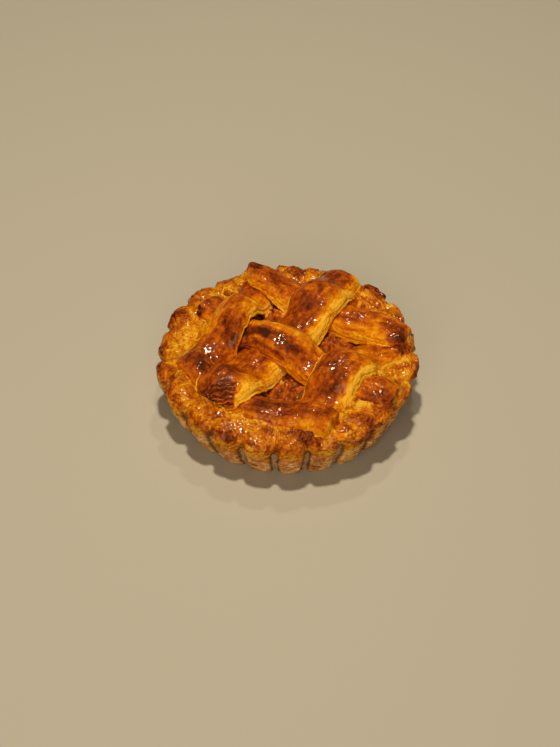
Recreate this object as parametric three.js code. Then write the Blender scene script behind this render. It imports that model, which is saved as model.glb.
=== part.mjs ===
// A lattice-topped meat pie, baked in a fluted tin and turned out: a fluted pastry case, its filling,
// and a lid of six thick pastry strips, three woven over and under three.
// Units are millimetres, +Z is up, and the origin is the middle of the flat base.
import * as THREE from "three";

const { clamp, degToRad, lerp } = THREE.MathUtils;

// The case, measured over the crowns of its flutes.
const BASE_RADIUS = 52;
const RIM_RADIUS = 59;
const RIM_HEIGHT = 25.5;
const CRUST_THICKNESS = 5;
const CAVITY_RADIUS = 44;
const LIP_RADIUS = 40.5; // the rim's dough is folded in over the filling as far as this
const FLUTES = 22;
const FLUTE_DEPTH = 2.8;
const FLUTE_TURN = degToRad(2.4); // from +X to the nearest groove
const FLUTE_DRIFT = degToRad(3.2); // how far the uneven flutes stray from an even spacing
const DRIFT_PHASE = 3.35; // where round the case they stray most
const FLUTE_CROWDING = 0.08; // how much closer the steps are beside a groove
const GROOVE_POWER = 0.7; // below 1 makes the grooves narrower than the crowns
const GROOVE_DIP = 0.3; // how far a groove pulls the rim down, as a share of its depth
const SEGMENTS_PER_FLUTE = 6;
const LEAN = 2.6; // how far the wall slumps out on its slackest side
const LEAN_ANGLE = degToRad(-143);
const LUMP_HEIGHT = 1.2; // the rise and fall of the rim
const LUMP_REACH = 1; // how far the same lumps swell outwards
const LUMPS = [
  { share: 0.5, count: 7, angle: degToRad(45) },
  { share: 0.3, count: 2, angle: degToRad(40) },
  { share: 0.15, count: 13, angle: degToRad(-7) },
];
const FLAKE = 0.45; // height of the flaky steps on the rim

// The filling, level with the lower edge of the lattice.
const FILLING_LEVEL = 22;
const FILLING_LUMP = 0.7;
const CHUNK_PITCH = 1.3;
const FILLING_RINGS = 11;
const FILLING_SEGMENTS = 60;

// The lattice.
const STRIP_THICKNESS = 6.4;
const STRIP_STEPS = 32;
const STRIP_COLUMNS = 8;
const STRIP_LAYERS = 2;
const COLUMN_CROWDING = 0.8; // below 1 sets the columns closer together towards a strip's edges
const EDGE_SHARE = 0.42; // thickness at a strip's edge, as a share of its middle
const DOME_POWER = 2.6; // above 2 flattens the middle of a strip's domed top
const LAYER_BULGE = 0.5; // how far the flaky layers stand out of a strip's sides
const LAYER_TAPER = 0.8; // how far the uppermost layer steps back, as a share of that
const END_BULGE = 2; // how much further they stand out at a strip's ends
const BLISTER = 0.3; // height of the swellings on a strip's top
const BLISTER_PITCH = 1.5;
const PINCH = 0.24; // share of its thickness that a strip loses under another
const NECK = 0.06; // share of its width that it loses there
const PIN_REACH = 9; // distance over which it recovers
const END_REACH = 10; // distance over which a strip thins towards its ends
const END_ROUNDING = 0.25; // share of its width that it loses at its ends
const ROUNDING_POWER = 12; // how late along a strip that rounding starts
const DROOP_POWER = 6; // how late along a strip its ends start to droop
const DRAPE_STEPS = 1; // stations over which a strip eases from one level to the next
const EDGE_MARGIN = 1.12; // how far beside a strip others still keep clear of it, in half widths
const CURL_SHARE = 0.25; // share of a strip that a curled start takes up

const CLEARANCE = 0.45; // between neighbouring pieces
const WAVER = 1.25; // how far the rows of bumps on the meat and the strips stray sideways
const WAVER_RATE = 0.38; // how often they do

// Strips by the plan points of their middle lines with the width at each. ends gives the share of the
// thickness that is left at the start and at the end, and curl is the lift of the start.
// The warp runs from the back right to the front left, the weft from the back left to the front right.
const WARP = {
  warp_left: {
    line: [[-13.5, 46, 15], [-20, 27, 17.5], [-28, 11, 18], [-36, -4, 17], [-42, -18, 13.5]],
    ends: [0.6, 0.3],
    curl: 0,
  },
  warp_middle: {
    line: [
      [25.5, 50.5, 18], [14.5, 32, 22], [4, 13.5, 20.5],
      [-11.5, -5.5, 23], [-22.5, -23, 22.5], [-32, -37, 18],
    ],
    ends: [0.8, 0.7],
    curl: 0,
  },
  warp_right: {
    line: [[49.5, 1, 10], [36.5, -3.5, 19], [26, -12.5, 21.5], [18.5, -25, 20.5], [10, -42, 18]],
    ends: [0.4, 0.35],
    curl: 0,
  },
};
const WEFT = {
  weft_back: {
    line: [
      [-19.5, 46.5, 13], [-5, 38.5, 15.5], [10, 30.5, 16.5],
      [25, 21.5, 17], [40, 14.5, 19], [53.5, 8.5, 15.5],
    ],
    ends: [0.6, 0.8],
    curl: 1.6,
  },
  weft_middle: {
    line: [
      [-39, 29.5, 18], [-22.5, 14.5, 18], [-5.5, 1.5, 19.5],
      [12, -9.5, 19], [30, -20, 18], [47, -27.5, 15],
    ],
    ends: [0.5, 0.5],
    curl: 0,
  },
  weft_front: {
    line: [
      [-46.5, -7.5, 13.5], [-36, -22, 15], [-20, -34, 16],
      [-3, -40.5, 17], [13, -44, 15], [27, -47.5, 10],
    ],
    ends: [0.4, 0.3],
    curl: 0,
  },
};

const PASTRY = new THREE.MeshStandardMaterial({ color: 0xd0801c, roughness: 0.7, metalness: 0 });
const GLAZED_PASTRY = new THREE.MeshStandardMaterial({ color: 0xa04a0c, roughness: 0.35, metalness: 0 });
const MEAT = new THREE.MeshStandardMaterial({ color: 0x92400f, roughness: 0.5, metalness: 0 });

// Share of the way from one groove to the next, with steps closer together beside the grooves.
function fluteShare(count) {
  return count - FLUTE_CROWDING * Math.sin(2 * Math.PI * count);
}

// Angle of a place on the wall that is counted in flutes from the first groove.
function fluteAngle(count) {
  const even = (fluteShare(count) / FLUTES) * 2 * Math.PI + FLUTE_TURN;
  return even - FLUTE_DRIFT * Math.sin(2 * even + DRIFT_PHASE);
}

// 0 on the crown of a flute and 1 in the narrow groove between two of them.
function groove(count) {
  return 1 - Math.abs(Math.sin(Math.PI * fluteShare(count))) ** GROOVE_POWER;
}

// The slow rise and fall of hand-pressed dough round the rim, from about -1 to 1.
function unevenness(angle) {
  return LUMPS.reduce((sum, lump) => sum + lump.share * Math.cos(lump.count * (angle - lump.angle)), 0);
}

// The case's section, from the middle of the base, up the wall, over the rim and down to the floor.
// flute is the share of the groove's depth that shows at a point, lump that of the unevenness, and lean
// that of the slump.
const SECTION = [
  { r: 0, z: 0, flute: 0, lump: 0, lean: 0 },
  { r: BASE_RADIUS - 1.5, z: 0, flute: 0.7, lump: 0, lean: 0.5 },
  { r: BASE_RADIUS, z: 1.5, flute: 0.9, lump: 0, lean: 0.5 },
  { r: lerp(BASE_RADIUS, RIM_RADIUS - 1.5, 0.5), z: 0.4 * RIM_HEIGHT, flute: 1, lump: 0.1, lean: 0.9 },
  { r: RIM_RADIUS - 1.5, z: RIM_HEIGHT - 6.5, flute: 1, lump: 0.4, lean: 1 },
  { r: RIM_RADIUS, z: RIM_HEIGHT - 3.2, flute: 0.9, lump: 0.8, lean: 0.4 },
  { r: RIM_RADIUS - 1, z: RIM_HEIGHT - 1.2, flute: 0.7, lump: 1, lean: 0 },
  { r: RIM_RADIUS - 3.2, z: RIM_HEIGHT - 0.5, flute: 0.35, lump: 1, lean: -0.3 },
  { r: RIM_RADIUS - 3.5, z: RIM_HEIGHT - 0.5 + FLAKE, flute: 0.3, lump: 1, lean: -0.3 },
  { r: RIM_RADIUS - 6.6, z: RIM_HEIGHT, flute: 0.1, lump: 1, lean: -0.2 },
  { r: RIM_RADIUS - 6.9, z: RIM_HEIGHT + FLAKE, flute: 0.1, lump: 1, lean: -0.2 },
  { r: RIM_RADIUS - 10, z: RIM_HEIGHT - 0.3, flute: 0, lump: 0.8, lean: 0 },
  { r: RIM_RADIUS - 14, z: RIM_HEIGHT - 1.4, flute: 0, lump: 0.5, lean: 0 },
  { r: LIP_RADIUS, z: FILLING_LEVEL + 0.6, flute: 0, lump: 0, lean: 0 },
  { r: LIP_RADIUS, z: FILLING_LEVEL - 0.8, flute: 0, lump: 0, lean: 0 },
  { r: CAVITY_RADIUS, z: FILLING_LEVEL - 2.5, flute: 0, lump: 0, lean: 0 },
  { r: CAVITY_RADIUS, z: CRUST_THICKNESS, flute: 0, lump: 0, lean: 0 },
  { r: 0, z: CRUST_THICKNESS, flute: 0, lump: 0, lean: 0 },
];
const RIM_EDGE = 5; // the widest point of the section
const RIM_LIP = 13; // where the rim meets the filling

// Height of the rim's upper side at a radius and an angle, or -Infinity inside the rim.
function rimHeight(radius, angle) {
  const lump = LUMP_HEIGHT * Math.max(unevenness(angle), 0);
  for (let i = RIM_EDGE; i < RIM_LIP; i += 1) {
    const [outer, inner] = [SECTION[i], SECTION[i + 1]];
    if (radius > inner.r) {
      const share = clamp((outer.r - radius) / (outer.r - inner.r), 0, 1);
      return lerp(outer.z, inner.z, share) + lerp(outer.lump, inner.lump, share) * lump;
    }
  }
  return -Infinity;
}

// Wavering rows of rounded bumps, from -1 to 1, at a point of the plan.
function bumps(x, y, pitch) {
  const [u, v] = [x / pitch, y / pitch];
  return Math.sin(u + WAVER * Math.sin(WAVER_RATE * v)) * Math.sin(v + WAVER * Math.sin(WAVER_RATE * u));
}

// Chunks of meat.
function fillingHeight(x, y) {
  return FILLING_LEVEL + FILLING_LUMP * bumps(x, y, CHUNK_PITCH);
}

// Swellings of a strip's top, from 0 to 1.
function blister(x, y) {
  return 0.5 + 0.5 * bumps(x, y, BLISTER_PITCH);
}

// A lathe about +Z. shape(point of the section, angle, column) gives each vertex's radius and height.
function lathe(section, segments, angleOf, shape) {
  const profile = section.map(({ r, z }) => new THREE.Vector2(r, z));
  const geometry = new THREE.LatheGeometry(profile, segments).rotateX(Math.PI / 2);
  const position = geometry.getAttribute("position");
  for (let i = 0; i < position.count; i += 1) {
    const column = Math.floor(i / section.length) % segments;
    const angle = angleOf(column);
    const [radius, height] = shape(section[i % section.length], angle, column);
    position.setXYZ(i, radius * Math.cos(angle), radius * Math.sin(angle), height);
  }
  geometry.computeVertexNormals();
  return geometry;
}

function makeCase() {
  const angleOf = (column) => fluteAngle(column / SEGMENTS_PER_FLUTE);
  const geometry = lathe(SECTION, FLUTES * SEGMENTS_PER_FLUTE, angleOf, (point, angle, column) => {
    const depth = point.flute * FLUTE_DEPTH * groove(column / SEGMENTS_PER_FLUTE);
    const swell = point.lump * unevenness(angle);
    const slump = point.lean * LEAN * Math.cos(angle - LEAN_ANGLE);
    return [
      point.r === 0 ? 0 : point.r - depth + LUMP_REACH * point.flute * swell + slump,
      point.z + LUMP_HEIGHT * swell - GROOVE_DIP * point.lump * depth,
    ];
  });
  return new THREE.Mesh(geometry, PASTRY);
}

function makeFilling() {
  const floor = CRUST_THICKNESS + CLEARANCE;
  const wall = CAVITY_RADIUS - CLEARANCE;
  const brim = LIP_RADIUS - CLEARANCE;
  const section = [
    { r: 0, z: floor },
    { r: wall, z: floor },
    { r: wall, z: SECTION[RIM_LIP + 2].z - CLEARANCE },
    { r: brim, z: SECTION[RIM_LIP + 1].z - CLEARANCE },
    { r: brim, z: SECTION[RIM_LIP].z - CLEARANCE },
  ];
  for (let i = 1; i <= FILLING_RINGS; i += 1) {
    section.push({ r: brim * (1 - i / FILLING_RINGS), z: FILLING_LEVEL });
  }
  const angleOf = (column) => (column / FILLING_SEGMENTS) * 2 * Math.PI;
  const geometry = lathe(section, FILLING_SEGMENTS, angleOf, ({ r, z }, angle) => {
    return [r, z === FILLING_LEVEL ? fillingHeight(r * Math.cos(angle), r * Math.sin(angle)) : z];
  });
  return new THREE.Mesh(geometry, MEAT);
}

// A row of heights eased without dropping below it anywhere: a running maximum, then a running mean.
function eased(row, reach) {
  const near = (values, i) => values.slice(Math.max(0, i - reach), i + reach + 1);
  const raised = row.map((_, i) => Math.max(...near(row, i)));
  return row.map((_, i) => near(raised, i).reduce((sum, height) => sum + height, 0) / near(raised, i).length);
}

// One strip as a grid of stations along its middle line and columns across it.
class Strip {
  constructor({ line, ends, curl }) {
    const curve = new THREE.SplineCurve(line.map(([x, y]) => new THREE.Vector2(x, y)));
    const widths = new THREE.SplineCurve(line.map(([, , width], n) => new THREE.Vector2(n, width)));
    this.ends = ends;
    this.curl = curl;
    this.pitch = curve.getLength() / STRIP_STEPS;
    this.over = [];
    this.pins = [];
    this.stations = Array.from({ length: STRIP_STEPS + 1 }, (_, i) => {
      const t = curve.getUtoTmapping(i / STRIP_STEPS);
      const tangent = curve.getTangent(t);
      return {
        centre: curve.getPoint(t),
        tangent,
        across: new THREE.Vector2(-tangent.y, tangent.x),
        width: widths.getPoint(t).y,
      };
    });
    // Places across the strip, from -1 to 1.
    this.columns = Array.from({ length: STRIP_COLUMNS + 1 }, (_, k) => {
      const even = (2 * k) / STRIP_COLUMNS - 1;
      return Math.sign(even) * Math.abs(even) ** COLUMN_CROWDING;
    });
    this.bottom = this.stations.map(() => this.columns.map(() => 0));
  }

  // Nearness to the ends, 0 in the middle and 1 at either of them.
  end(i) {
    return Math.abs((2 * i) / STRIP_STEPS - 1);
  }

  // 1 at a station, fading to 0 with the distance from it.
  near(i, station, reach) {
    return Math.exp(-((((i - station) * this.pitch) / reach) ** 2));
  }

  // How firmly a strip that passes over this one holds it down, from 0 to 1.
  pinned(i) {
    return Math.max(0, ...this.pins.map((pin) => this.near(i, pin, PIN_REACH)));
  }

  halfWidth(i) {
    const rounding = END_ROUNDING * this.end(i) ** ROUNDING_POWER;
    return (this.stations[i].width / 2) * (1 - NECK * this.pinned(i) - rounding);
  }

  // Full in the middle of the strip and thinner at its edges, at its ends and under another strip.
  thickness(i, v) {
    const start = (1 - this.ends[0]) * this.near(i, 0, END_REACH);
    const end = (1 - this.ends[1]) * this.near(i, STRIP_STEPS, END_REACH);
    const here = STRIP_THICKNESS * (1 - PINCH * this.pinned(i)) * (1 - start - end);
    return here * lerp(EDGE_SHARE, 1, 1 - Math.abs(v) ** DOME_POWER);
  }

  plan(i, v) {
    const { centre, across } = this.stations[i];
    return centre.clone().addScaledVector(across, v * this.halfWidth(i));
  }

  // Height of the strip's top at a point of the plan, or -Infinity beside the strip.
  topAt(point) {
    const tops = this.stations.map(({ centre, tangent, across }, i) => {
      const offset = point.clone().sub(centre);
      const v = offset.dot(across) / this.halfWidth(i);
      if (Math.abs(offset.dot(tangent)) > this.pitch || Math.abs(v) > EDGE_MARGIN) return -Infinity;
      const column = ((clamp(v, -1, 1) + 1) / 2) * STRIP_COLUMNS;
      const bottom = Math.max(this.bottom[i][Math.floor(column)], this.bottom[i][Math.ceil(column)]);
      return bottom + this.thickness(i, clamp(v, -1, 1)) + BLISTER * blister(point.x, point.y);
    });
    return Math.max(...tops);
  }

  // Lays the strip on the filling, the rim and the strips that it passes over, with its ends drooping.
  lay() {
    const support = this.stations.map((_, i) =>
      this.columns.map((v) => {
        const point = this.plan(i, v);
        const rim = rimHeight(point.length(), point.angle());
        const below = this.over.map((strip) => strip.topAt(point));
        return Math.max(FILLING_LEVEL + FILLING_LUMP, rim, ...below) + CLEARANCE;
      }),
    );
    const along = this.columns.map((_, k) => eased(support.map((row) => row[k]), DRAPE_STEPS));
    this.bottom = this.stations.map((_, i) => {
      const lift = this.curl * Math.max(0, 1 - i / STRIP_STEPS / CURL_SHARE) ** 2;
      const level = eased(along.map((column) => column[i]), 1);
      const drooped = eased(support[i], 1);
      return level.map((height, k) => lerp(height, drooped[k], this.end(i) ** DROOP_POWER) + lift);
    });
  }

  // A box with its cells wrapped over the grid: x runs along the strip, y across it and z up through it.
  mesh() {
    const geometry = new THREE.BoxGeometry(1, 1, 1, STRIP_STEPS, STRIP_COLUMNS, STRIP_LAYERS);
    const position = geometry.getAttribute("position");
    for (let n = 0; n < position.count; n += 1) {
      const i = Math.round((position.getX(n) + 0.5) * STRIP_STEPS);
      const k = Math.round((position.getY(n) + 0.5) * STRIP_COLUMNS);
      const w = position.getZ(n) + 0.5;
      const v = this.columns[k];
      const bulge = LAYER_BULGE * (Math.sin(Math.PI * w) - LAYER_TAPER * w * w);
      const point = this.plan(i, v * (1 + bulge / this.halfWidth(i)));
      const outwards = i === 0 ? -1 : Number(i === STRIP_STEPS);
      point.addScaledVector(this.stations[i].tangent, END_BULGE * outwards * bulge);
      const height = this.thickness(i, v) + BLISTER * blister(point.x, point.y);
      position.setXYZ(n, point.x, point.y, this.bottom[i][k] + w * height);
    }
    geometry.computeVertexNormals();
    return new THREE.Mesh(geometry, GLAZED_PASTRY);
  }
}

// Stations at which two strips come closest to each other.
function crossing(first, second) {
  let nearest = { gap: Infinity };
  first.stations.forEach(({ centre }, i) => {
    second.stations.forEach((other, j) => {
      const gap = centre.distanceTo(other.centre);
      if (gap < nearest.gap) nearest = { gap, i, j };
    });
  });
  return nearest;
}

// Weaves the strips: a warp strip passes over every other weft strip, and under the rest.
function makeLattice() {
  const warp = Object.values(WARP).map((strip) => new Strip(strip));
  const weft = Object.values(WEFT).map((strip) => new Strip(strip));
  warp.forEach((warpStrip, a) => {
    weft.forEach((weftStrip, b) => {
      const { i, j } = crossing(warpStrip, weftStrip);
      if ((a + b) % 2 === 1) {
        warpStrip.over.push(weftStrip);
        weftStrip.pins.push(j);
      } else {
        weftStrip.over.push(warpStrip);
        warpStrip.pins.push(i);
      }
    });
  });
  const strips = [...warp, ...weft];
  const names = [...Object.keys(WARP), ...Object.keys(WEFT)];
  // The first pass lays each strip as if alone, and the next ones settle the crossings.
  for (let pass = 0; pass < 3; pass += 1) strips.forEach((strip) => strip.lay());
  return strips.map((strip, i) => Object.assign(strip.mesh(), { name: `lattice_${names[i]}` }));
}

const pie = new THREE.Group();
pie.add(Object.assign(makeCase(), { name: "pastry_case" }));
pie.add(Object.assign(makeFilling(), { name: "filling" }));
pie.add(...makeLattice());

export default pie;
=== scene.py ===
import math
from collections import namedtuple
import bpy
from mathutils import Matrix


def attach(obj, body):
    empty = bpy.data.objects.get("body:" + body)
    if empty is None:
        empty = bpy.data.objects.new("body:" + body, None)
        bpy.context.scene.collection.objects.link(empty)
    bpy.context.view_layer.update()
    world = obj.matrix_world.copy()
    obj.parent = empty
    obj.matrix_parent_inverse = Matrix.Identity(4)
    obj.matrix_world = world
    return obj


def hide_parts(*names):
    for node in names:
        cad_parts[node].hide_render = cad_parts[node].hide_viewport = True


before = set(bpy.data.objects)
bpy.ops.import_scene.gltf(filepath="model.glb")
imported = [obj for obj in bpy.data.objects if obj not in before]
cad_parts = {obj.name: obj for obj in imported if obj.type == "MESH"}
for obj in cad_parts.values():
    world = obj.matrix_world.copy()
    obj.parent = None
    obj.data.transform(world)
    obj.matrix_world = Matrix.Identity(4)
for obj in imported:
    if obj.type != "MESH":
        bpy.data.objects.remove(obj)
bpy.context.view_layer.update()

from types import SimpleNamespace

import bpy
import numpy as np
from mathutils import Matrix, Vector
from mathutils.bvhtree import BVHTree

# Lengths are in millimetres, and become metres where a mesh, a camera or a light is made.
MM = 0.001
DETAIL = 0.45  # spacing of the vertices where the pie shows

# The case, as in the solids: crowns of the flutes, rim and slump.
BASE_RADIUS = 52.0
RIM_RADIUS = 59.0
RIM_HEIGHT = 25.5
CAVITY_RADIUS = 44.0
LIP_RADIUS = 40.5
FILLING_LEVEL = 22.0
FLOOR = 5.0
FLUTES = 22
FLUTE_DEPTH = 2.8
FLUTE_TURN = math.radians(2.4)
FLUTE_DRIFT = math.radians(3.2)
FLUTE_BIAS = 0.08
DRIFT_PHASE = 3.35
GROOVE_POWER = 0.7
LEAN = 2.6
LEAN_ANGLE = math.radians(-143)
LUMP_HEIGHT = 1.2
COLUMNS_PER_FLUTE = 34

# Strips of the lattice by the plan points of their middle lines.
STRIPS = {
    "lattice_warp_left": [(-13.5, 46), (-20, 27), (-28, 11), (-36, -4), (-42, -18)],
    "lattice_warp_middle": [(25.5, 50.5), (14.5, 32), (4, 13.5), (-11.5, -5.5), (-22.5, -23), (-32, -37)],
    "lattice_warp_right": [(49.5, 1), (36.5, -3.5), (26, -12.5), (18.5, -25), (10, -42)],
    "lattice_weft_back": [(-19.5, 46.5), (-5, 38.5), (10, 30.5), (25, 21.5), (40, 14.5), (53.5, 8.5)],
    "lattice_weft_middle": [(-39, 29.5), (-22.5, 14.5), (-5.5, 1.5), (12, -9.5), (30, -20), (47, -27.5)],
    "lattice_weft_front": [(-46.5, -7.5), (-36, -22), (-20, -34), (-3, -40.5), (13, -44), (27, -47.5)],
}

# Looks of each strip: how brown its top and its sides are, the side where the brown runs down over
# the edge, how soon a sagging part of the top counts as its side, and how far below its top the dough
# of the rim meets it.
Look = namedtuple("Look", "top side over_edge slump skirt")
LOOKS = {
    "lattice_warp_left": Look(0.45, 0.04, 0, 0.3, 1.2),
    "lattice_warp_middle": Look(0.5, -0.14, -1, 1.0, 2.0),
    "lattice_warp_right": Look(0.46, -0.24, -1, 0.75, 0.8),
    "lattice_weft_back": Look(0.385, 0.06, 1, 0.8, 1.4),
    "lattice_weft_middle": Look(0.34, 0.36, 0, 0.6, -0.2),
    "lattice_weft_front": Look(0.48, 0.18, 1, 0.4, -0.3),
}
START_SKIRTS = {"lattice_weft_middle": 0.6}  # the skirt at a strip's first end, where it differs

# Strokes of the oven on each piece: plan ends, radius and strength. Those below nought are paler.
Stroke = namedtuple("Stroke", "x y end_x end_y radius strength")
SCORCHES = {
    "lattice_warp_left": [
        Stroke(-31, 9.5, -27, 2, 4.5, 0.2),
        Stroke(-31, -4, -36, -8, 4, 0.1),
        Stroke(-20, 36, -23, 32, 5, 0.1),
        Stroke(-14.5, 28.5, -18.5, 18, 4.6, -0.36),
    ],
    "lattice_warp_middle": [
        Stroke(7, 25, 3, 9, 5, 0.2),
        Stroke(17, 47, 25, 41, 6, 0.06),
        Stroke(-29, -27, -24, -22, 5, 0.16),
        Stroke(-7, -18, -22, -38, 5, 0.05),
    ],
    "lattice_warp_right": [
        Stroke(18, -16, 24, -21, 5, 0.18),
        Stroke(18, -28, 16, -35, 5, 0.1),
        Stroke(34, -3, 38, -6, 6, -0.12),
        Stroke(33, -16, 30, -12, 3, -0.1),
        Stroke(45, 3, 52, 1, 3, 0.35),
    ],
    "lattice_weft_back": [
        Stroke(-19.5, 49, -16.5, 46.5, 2.8, 0.45),
        Stroke(-16, 44, 3, 33, 5, 0.12),
        Stroke(25, 22, 31, 19, 4.5, 0.12),
        Stroke(36, 17, 41, 14, 5, -0.2),
        Stroke(44.5, 14, 54, 4, 3.6, 0.34),
        Stroke(46, 4, 54, 0.5, 3.4, 0.4),
        Stroke(-10, 31.5, -2.5, 26, 2.8, -0.16),
    ],
    "lattice_weft_middle": [
        Stroke(-22, 6.5, -12, 1.2, 3.4, 0.58),
        Stroke(-9, -1.5, 11, -13.5, 5, 0.27),
        Stroke(-16, 10, 13, -3.5, 3, -0.16),
        Stroke(0, -13, 9.5, -20, 2.6, -0.2),
        Stroke(-40, 22, -33, 32, 5, 0.15),
        Stroke(42, -31, 36, -31, 4, 0.2),
        Stroke(-43, 24, -41, 21.5, 2, 0.5),
    ],
    "lattice_weft_front": [
        Stroke(-9, -37, 5, -43, 5, 0.16),
        Stroke(-44, -13, -38, -19, 5, 0.2),
        Stroke(26, -47, 30, -49, 4, 0.1),
    ],
    "pastry_case": [
        Stroke(7, -52, 12, -53, 3, 0.4),
        Stroke(-27, -49, -25, -52, 3, 0.35),
        Stroke(31, -39, 35, -42, 4, 0.3),
        Stroke(-10, 55, 4, 53, 3, 0.2),
        Stroke(-39, 40, -54, 21, 2.5, 0.2),
        Stroke(36, 44, 42, 35, 4, 0.25),
        Stroke(44, -30, 40, -34, 4, 0.35),
        Stroke(-20, -51, -11, -52, 4, 0.15),
        Stroke(50, 3, 56, 0, 3, 0.5),
        Stroke(57, 0, 51, -4, 2, -0.3),
        Stroke(22, -51, 27, -49.5, 1.5, -0.25),
        Stroke(31, 38, 38, 31, 3.5, -0.22),
        Stroke(-6, -54, 8, -54, 4, 0.1),
        Stroke(21, -42, 15, -49, 3, -0.25),
        Stroke(-47, 16, -50, 4, 4, -0.08),
        Stroke(-31, -41, -26, -44, 4, -0.1),
    ],
}
STROKE_RAGGED = 1.6

# Ends and edges that differ from those of the solids.
TORN_STRIP = "lattice_warp_middle"  # the left of its front end is torn open and burnt
TORN_LINE = -29.5
TORN_RIGHT = -23.5
TORN_PULL = 3.5
TORN_SAG = 1.6
TORN_STEP = 1.0
FOLDED_STRIP = "lattice_weft_front"  # its right end is folded down beside the strip below it
FOLD = ((25.7, -35.9), (19.7, -46.8))
FOLD_DEPTH = 6.5
HORNED_STRIP = "lattice_weft_back"  # the corner of its back end curls up into a point
HORN_REACH = 5.0
HORN_NARROWING = 0.5
HORN_TURN = 3.0
HORN_RISE = 0.6
HORN_STRETCH = 2.0
# Strips whose left edge draws in beside the back gap of the lattice: how far along, and how deep.
Trim = namedtuple("Trim", "place depth")
TRIMS = {"lattice_weft_middle": Trim(33.0, 3.4), "lattice_warp_left": Trim(28.0, 2.2)}
TRIM_FULL = 2.0
TRIM_END = 14.0
PIT = (-28.6, 37.4)  # a small hollow with a pale lip in the rim
PIT_RADIUS = 2.6
PIT_DEPTH = 2.2
PIT_RAGGED = 1.6
PIT_LIP = 0.5

# How strongly each uneven field shows in the relief, in millimetres, and in the browning; on the creases
# and in the pit the darker colour is painted shade.
RIM_RELIEF = {"lumps": 0.8, "creases": -0.6, "flakes": 0.6, "bubbles": 0.25, "wrinkles": 0.1}
RIM_SINK = 0.3
COVERED_SINK = 0.3
WALL_RELIEF = {"ridges": 0.5, "puffs": 0.45, "wrinkles": 0.12, "pleats": 0.22}
RIM_BAKE = 0.13
# The weights of creases and pit darken those hollows: painted shade.
RIM_BAKING = {
    "patches": 0.26, "mottle": 0.18, "lumps": 0.08, "bubbles": 0.12, "breaks": 0.2, "flakes": -0.06,
    "creases": 0.15, "wrinkles": 0.1, "edge": 0.25, "pit": 0.45, "lip": -0.25, "risen": -0.06,
}
WALL_PALER = 0.16
WALL_BAKING = {"cracks": 0.25, "pleats": -0.15}
TOP_RELIEF = {"puffs": 0.7, "bubbles": 0.26, "wrinkles": 0.07}
SIDE_RELIEF = {"ridges": 0.5, "wrinkles": 0.1}
SIDE_SINK = 0.2
LEAF_HEIGHT = 1.6
TOP_BAKING = {
    "tone": 0.14, "mottle": 0.18, "bubbles": 0.1, "wrinkles": 0.1, "streaks": 0.16, "shoulder": -0.2,
}
SIDE_BAKING = {"tone": 0.12, "streaks": 0.2, "breaks": 0.2, "brow": 0.1}
TORN_BAKE = 0.82
TORN_BAKING = {"leaves": -0.4, "tears": 0.2, "front": -0.25, "tone": 0.1}
FOLD_PALER = 0.3


def smoothstep(low, high, value):
    share = np.clip((value - low) / (high - low), 0, 1)
    return share * share * (3 - 2 * share)


def lerp(start, end, share):
    return start + (end - start) * share


def weigh(fields, weights):
    """Sum of the fields that have a weight, each times its own."""
    return sum(weight * fields[name] for name, weight in weights.items())


def distances(points):
    """Distance along a line of points at each of them."""
    return np.concatenate([[0], np.cumsum(np.hypot(*np.diff(points, axis=0).T))])


def smoothed(grid, reach):
    """A grid smoothed along its columns, over that many rows to either side."""
    kernel = np.exp(-np.linspace(-2, 2, 2 * reach + 1) ** 2)
    kernel /= kernel.sum()
    padded = np.vstack([grid[:1]] * reach + [grid] + [grid[-1:]] * reach)
    return np.stack([np.convolve(column, kernel, "valid") for column in padded.T], axis=1)


class Noise:
    """Seeded noise over points in millimetres. Points moved by a fixed shift meet another part of it."""

    SLOTS = 256
    SWING = 1.7
    OCTAVE_SHIFT = 17.3

    def __init__(self, seed):
        draw = np.random.default_rng(seed)
        self.order = draw.permutation(self.SLOTS)
        gradients = draw.normal(size=(self.SLOTS, 3))
        self.gradients = gradients / np.linalg.norm(gradients, axis=1, keepdims=True)
        self.jitter = draw.random((self.SLOTS, 3))
        self.shade = draw.random(self.SLOTS)

    def hashed(self, cell):
        mask = self.SLOTS - 1
        first = self.order[cell[..., 0] & mask]
        second = self.order[(first + cell[..., 1]) & mask]
        return self.order[(second + cell[..., 2]) & mask]

    def smooth(self, points, size):
        """Gradient noise from about -1 to 1, with lumps of that size."""
        places = points / size
        corner = np.floor(places).astype(int)
        inside = places - corner
        ease = inside ** 3 * (inside * (inside * 6 - 15) + 10)
        total = np.zeros(points.shape[:-1])
        for step in np.ndindex(2, 2, 2):
            slope = self.gradients[self.hashed(corner + step)]
            weight = np.prod(np.where(step, ease, 1 - ease), axis=-1)
            total += weight * ((inside - step) * slope).sum(axis=-1)
        return self.SWING * total

    def fractal(self, points, size, octaves=3):
        """Noise of that size with finer noise on it."""
        total = np.zeros(points.shape[:-1])
        for octave in range(octaves):
            finer = 2 ** octave
            total += self.smooth(points + self.OCTAVE_SHIFT * octave, size / finer) / finer
        return total

    def cells(self, points, size):
        """Distance to the nearest of scattered points, and that one's shade from 0 to 1."""
        places = points / size
        corner = np.floor(places).astype(int)
        nearest = np.full(points.shape[:-1], np.inf)
        shade = np.zeros(points.shape[:-1])
        for step in np.ndindex(3, 3, 3):
            cell = corner + np.array(step) - 1
            code = self.hashed(cell)
            gap = np.linalg.norm(places - cell - self.jitter[code], axis=-1)
            closer = gap < nearest
            nearest = np.where(closer, gap, nearest)
            shade = np.where(closer, self.shade[code], shade)
        return nearest * size, shade


PUFF = Noise(1)
CRUST = Noise(2)
BUBBLE = Noise(3)
LAYER = Noise(4)
MINCE = Noise(5)
TONE = Noise(6)
BUBBLE_WIDTH = 0.48  # as a share of the bubbles' spacing


def blisters(points, size, share):
    """Rounded blisters, about 1 high, on that share of the scattered points."""
    nearest, shade = BUBBLE.cells(points, size)
    dome = np.clip(1 - (nearest / (BUBBLE_WIDTH * size)) ** 2, 0, None)
    return np.where(shade < share, dome * (0.5 + shade / share), 0)


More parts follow.
